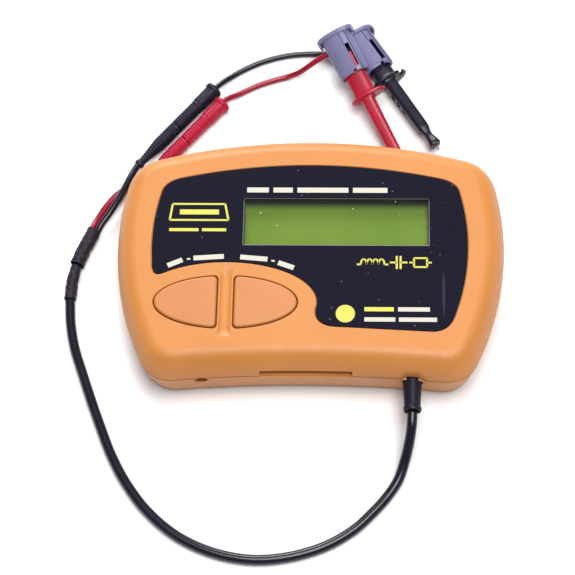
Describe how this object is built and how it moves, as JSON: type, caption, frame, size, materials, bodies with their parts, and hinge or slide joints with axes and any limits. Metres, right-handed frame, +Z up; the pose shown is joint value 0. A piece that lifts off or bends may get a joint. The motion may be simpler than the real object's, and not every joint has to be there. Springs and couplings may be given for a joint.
{
  "type": "lcr meter",
  "caption": "Handheld component meter: curved flat case with recessed display, two press buttons and a captive lead ending in plug and socket pairs and sprung hook grabbers.",
  "frame": {"origin": "on the table plane, under the middle of the case's bounding box", "axes": "+Z up through the front panel, +X along the case's width, +Y towards the case's convex back edge"},
  "size_m": [0.1182, 0.1606, 0.0205],
  "materials": {
    "case_orange": "fine satin moulding texture",
    "button_orange": "fine satin moulding texture",
    "label_film": "screen printed polyester film with a fine grain",
    "window_clear": "clear",
    "screen_green": "reflective display glass",
    "black_plastic": "moulded",
    "black_rubber": "soft moulded sleeve",
    "red_rubber": "soft moulded sleeve",
    "red_plastic": "moulded",
    "grey_plastic": "moulded",
    "steel": "plated",
    "board_green": "solder mask",
    "battery_jacket": "printed sleeve on steel",
    "pale_plastic": "moulded"
  },
  "bodies": {
    "root": {"battery": "battery_jacket", "battery_contact_negative": "steel", "battery_contact_positive": "steel", "battery_holder": "black_plastic", "black_grabber_head": "grey_plastic", "black_grabber_hook": "steel", "black_grabber_spring": "steel", "black_lead": "black_rubber", "black_plug_pin": "steel", "black_plug_sleeve": "black_rubber", "black_probe_wire": "black_rubber", "black_socket_sleeve": "black_rubber", "board_screw_1": "steel", "board_screw_2": "steel", "board_screw_3": "steel", "board_screw_4": "steel", "bottom_shell": "case_orange", "capacitor_a": "black_plastic", "capacitor_b": "black_plastic", "case_screw_1": "steel", "case_screw_2": "steel", "case_screw_3": "steel", "crystal": "steel", "display_board": "board_green", "display_contact_strip_back": "black_rubber", "display_contact_strip_front": "black_rubber", "display_frame": "black_plastic", "display_glass": "screen_green", "display_header": "black_plastic", "display_window": "window_clear", "front_label": "label_film", "lead_connector": "pale_plastic", "lead_inner_tail": "black_rubber", "main_board": "board_green", "main_cable": "black_rubber", "measuring_amplifier": "black_plastic", "microcontroller": "black_plastic", "red_grabber_head": "grey_plastic", "red_grabber_hook": "steel", "red_grabber_spring": "steel", "red_lead": "red_rubber", "red_plug_pin": "steel", "red_plug_sleeve": "red_rubber", "red_probe_wire": "red_rubber", "red_socket_sleeve": "red_rubber", "shrink_sleeve_lower": "black_rubber", "shrink_sleeve_upper": "black_rubber", "strain_relief": "black_rubber", "switch_body_left": "black_plastic", "switch_body_right": "black_plastic", "top_shell": "case_orange", "voltage_regulator": "black_plastic"},
    "left_button": {"button_left": "button_orange", "switch_plunger_left": "pale_plastic"},
    "right_button": {"button_right": "button_orange", "switch_plunger_right": "pale_plastic"},
    "red_barrel": {"red_grabber_barrel": "red_plastic"},
    "black_barrel": {"black_grabber_barrel": "black_plastic"}
  },
  "joints": [
    {"name": "button_left_press", "type": "slide", "parent": "root", "child": "left_button", "axis": [0, 0, -1], "range_m": [0, 0.0005], "stiffness_N_per_m": 200, "springref_m": -0.004},
    {"name": "button_right_press", "type": "slide", "parent": "root", "child": "right_button", "axis": [0, 0, -1], "range_m": [0, 0.0005], "stiffness_N_per_m": 200, "springref_m": -0.004},
    {"name": "red_grabber_squeeze", "type": "slide", "parent": "root", "child": "red_barrel", "axis": [-0.4458, 0.876, 0.1841], "range_m": [0, 0.0042], "stiffness_N_per_m": 120, "springref_m": -0.004, "deforming": ["red_grabber_spring"]},
    {"name": "black_grabber_squeeze", "type": "slide", "parent": "root", "child": "black_barrel", "axis": [-0.53, 0.848, 0], "range_m": [-0.003, 0.0012], "stiffness_N_per_m": 120, "springref_m": -0.007, "deforming": ["black_grabber_spring"]}
  ]
}
